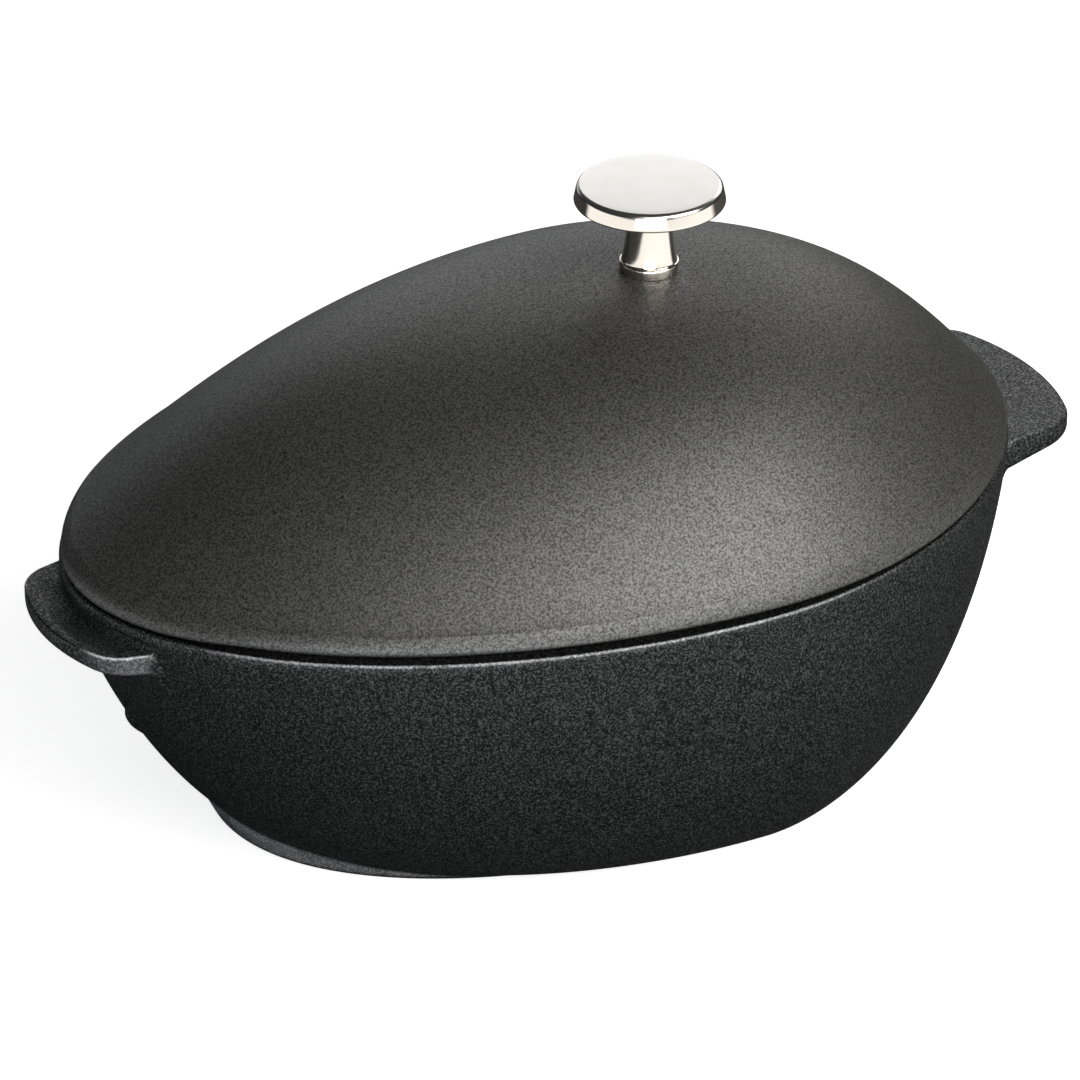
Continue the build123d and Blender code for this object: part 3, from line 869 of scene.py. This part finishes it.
def enamel(name, s):
    # Dull base under a gloss that is full on the grain's bumps and thin in its pits. With an edge
    # colour, the base is painted pale as highlight and light where the mesh is marked so, and
    # painted dark as shade where it is marked seat.
    mat, tree, out = newMaterial(name)
    place = addNode(tree, "ShaderNodeTexCoord").outputs["Object"]
    low, high = s["speckle"]
    grain = addNode(tree, "ShaderNodeGroup", {
        "Vector": place, "Bumps per m": s["bumpsPerM"], "Low": low, "High": high},
        node_tree=castGrain).outputs
    color = mixColor(tree, grain["Speckle"], s["dark"], s["light"])
    if "edge" in s:
        wornAndLit, seat = (addNode(tree, "ShaderNodeAttribute", attribute_name=label).outputs["Fac"]
                      for label in ("wornAndLit", "seat"))
        patches = calc(tree, "ADD", grain["Waves"], grain["Speckle"])
        patches = remap(tree, patches, *s["patches"], s["patchLow"], 1.0)
        # Painted highlight and painted light: the pale edge colour, in patches, where the mesh is
        # marked.
        color = mixColor(tree, calc(tree, "MULTIPLY", wornAndLit, patches), color, s["edge"])
        # Painted shade: the rim's seat under the lid's edge is painted the dark colour.
        color = mixColor(tree, seat, color, s["dark"])
    glaze = remap(tree, grain["Speckle"], 0.0, 1.0, s["glazeInPits"], 1.0)
    waves = addNode(tree, "ShaderNodeBump", {
        "Height": grain["Waves"], "Strength": 1.0, "Distance": s["waveDepth"]})
    bump = addNode(tree, "ShaderNodeBump", {
        "Height": grain["Height"], "Strength": 1.0, "Distance": s["bumpDepth"],
        "Normal": waves.outputs["Normal"]})
    bsdf = addNode(tree, "ShaderNodeBsdfPrincipled", {
        "Base Color": color, "Roughness": s["rough"], "IOR": s["ior"],
        "Coat Weight": glaze, "Coat Roughness": s["glazeRough"], "Coat IOR": s["glazeIor"],
        "Normal": bump.outputs["Normal"]})
    tree.links.new(bsdf.outputs[0], out.inputs["Surface"])
    return mat


def finishMetal(tree, out, color, rough, lines, depth):
    # Bare metal whose lines are also raised.
    bump = addNode(tree, "ShaderNodeBump", {"Height": lines, "Strength": 1.0, "Distance": depth})
    bsdf = addNode(tree, "ShaderNodeBsdfPrincipled", {
        "Base Color": color, "Metallic": 1.0, "Roughness": rough, "Normal": bump.outputs["Normal"]})
    tree.links.new(bsdf.outputs[0], out.inputs["Surface"])


def drawnMetal(name, s):
    # The lines run along the axis whose stretch is smallest.
    mat, tree, out = newMaterial(name)
    place = addNode(tree, "ShaderNodeTexCoord").outputs["Object"]
    along = addNode(tree, "ShaderNodeMapping", {"Vector": place, "Scale": s["stretch"]}).outputs[0]
    rubbed = addNode(tree, "ShaderNodeGroup", {
        "Vector": place, "Line Vector": along, "Lines per m": s["linesPerM"]},
        node_tree=rubbedMetal).outputs
    color = mixColor(tree, rubbed["Wear"], s["clean"], s["wornAndLit"])
    rough = remap(tree, rubbed["Lines"], *s["lineSpan"], *s["rough"])
    finishMetal(tree, out, color, rough, rubbed["Lines"], s["lineDepth"])
    return mat


def turnedMetal(name, s):
    # Polished all over but for the face, which has a satin finish of fine rings round its axis.
    mat, tree, out = newMaterial(name)
    place = addNode(tree, "ShaderNodeTexCoord").outputs["Object"]
    centred = addNode(tree, "ShaderNodeMapping", {
        "Vector": place, "Location": (-knobAt * mm, 0, 0)}).outputs[0]
    parts = addNode(tree, "ShaderNodeSeparateXYZ", {0: centred}).outputs
    flat = addNode(tree, "ShaderNodeCombineXYZ", {"X": parts["X"], "Y": parts["Y"]}).outputs[0]
    fromAxis = measure(tree, "LENGTH", flat)
    rings = addNode(tree, "ShaderNodeCombineXYZ", {"X": fromAxis, "Y": parts["Z"]}).outputs[0]
    rubbed = addNode(tree, "ShaderNodeGroup", {
        "Vector": place, "Line Vector": rings, "Lines per m": s["linesPerM"]},
        node_tree=rubbedMetal).outputs
    faceFrom, faceFull = ((knobSeat + knob["height"] - depth) * mm for depth in s["faceDepths"])
    onFace = remap(tree, parts["Z"], faceFrom, faceFull)
    low = remap(tree, onFace, 0.0, 1.0, s["polish"], s["satin"])
    rough = calc(tree, "MULTIPLY_ADD", rubbed["Lines"], s["lineRough"], low)
    # The side's warmer tint is a painted reflection of the cream floor.
    bare = mixColor(tree, onFace, s["side"], s["clean"])
    wear = calc(tree, "MULTIPLY", rubbed["Wear"], s["wearShown"])
    color = mixColor(tree, wear, bare, s["wornAndLit"])
    finishMetal(tree, out, color, rough, rubbed["Lines"], s["lineDepth"])
    return mat


def dress(names, mat):
    # CAD nodes keep their meshes and get a new material in their slots.
    for name in names:
        for held in nodes[name].material_slots:
            held.material = mat
        if not nodes[name].material_slots:
            nodes[name].data.materials.append(mat)


potEnamel = enamel("potEnamel", {
    "dark": (0.001, 0.001, 0.001),
    "light": (0.055, 0.062, 0.062),
    "edge": (0.76, 0.78, 0.80),  # pale colour of painted highlights and painted light on the marked edges
    "patches": (0.3, 1.3),
    "patchLow": 0.2,
    "speckle": (0.48, 0.62),
    "rough": 0.6,
    "ior": 1.2,
    "glazeInPits": 0.08,
    "glazeRough": 0.46,
    "glazeIor": 2.35,
    "bumpsPerM": 1800,
    "bumpDepth": 0.00013,  # metres
    "waveDepth": 0.0004,
})
lidEnamel = enamel("lidEnamel", {
    "dark": (0.001, 0.001, 0.001),
    "light": (0.06, 0.06, 0.056),
    "speckle": (0.42, 0.58),
    "rough": 0.6,
    "ior": 1.2,
    "glazeInPits": 0.33,
    "glazeRough": 0.5,
    "glazeIor": 2.3,
    "bumpsPerM": 1800,
    "bumpDepth": 0.00013,
    "waveDepth": 0.0004,
})
knobMetal = turnedMetal("knobNickel", {
    "clean": (0.92, 0.91, 0.88),
    # painted reflection: the polished side is tinted warmer than the face, for the cream floor it
    # mirrors
    "side": (0.95, 0.88, 0.78),
    "wornAndLit": (0.88, 0.83, 0.75),
    "wearShown": 0.35,
    "faceDepths": (1.6, 0.8),  # mm below the knob's top where the satin starts and is full
    "polish": 0.04,
    "satin": 0.20,
    "lineRough": 0.08,
    "linesPerM": 3500,
    "lineDepth": 0.000004,
})
steel = drawnMetal("fastenerSteel", {
    "clean": (0.62, 0.62, 0.61),
    "wornAndLit": (0.50, 0.49, 0.47),
    "stretch": (1, 1, 0.15),
    "lineSpan": (0.3, 0.7),
    "rough": (0.22, 0.42),
    "linesPerM": 2600,
    "lineDepth": 0.00001,
})
wire = drawnMetal("strainerWire", {
    "clean": (0.78, 0.78, 0.77),
    "wornAndLit": (0.62, 0.61, 0.58),
    "stretch": (1, 0.12, 1),
    "lineSpan": (0.3, 0.7),
    "rough": (0.12, 0.30),
    "linesPerM": 3000,
    "lineDepth": 0.000006,
})
dress(("knob_screw", "knob_washer", "lock_washer"), steel)
dress(("strainer_frame", "strainer_bars", "strainer_runners", "strainer_handle"), wire)
print("materials made")

potGrid, potMarks = potPoints(pot)
potPoles = [(pot["centre"], 0, height) for height in (0, pot["floor"])]
gridMesh("potBody", potGrid, potEnamel, "pot", "pot_body",
         poles=potPoles, marks=potMarks)
gridMesh("lidShell", lidPoints(lid), lidEnamel, "lid", "lid", closedRows=True)
knobPoles = [(knobAt, 0, knobSeat + knob[height]) for height in ("boreDepth", "height")]
gridMesh("knobTurned", knobPoints(knob), knobMetal, "lid", "knob", poles=knobPoles)
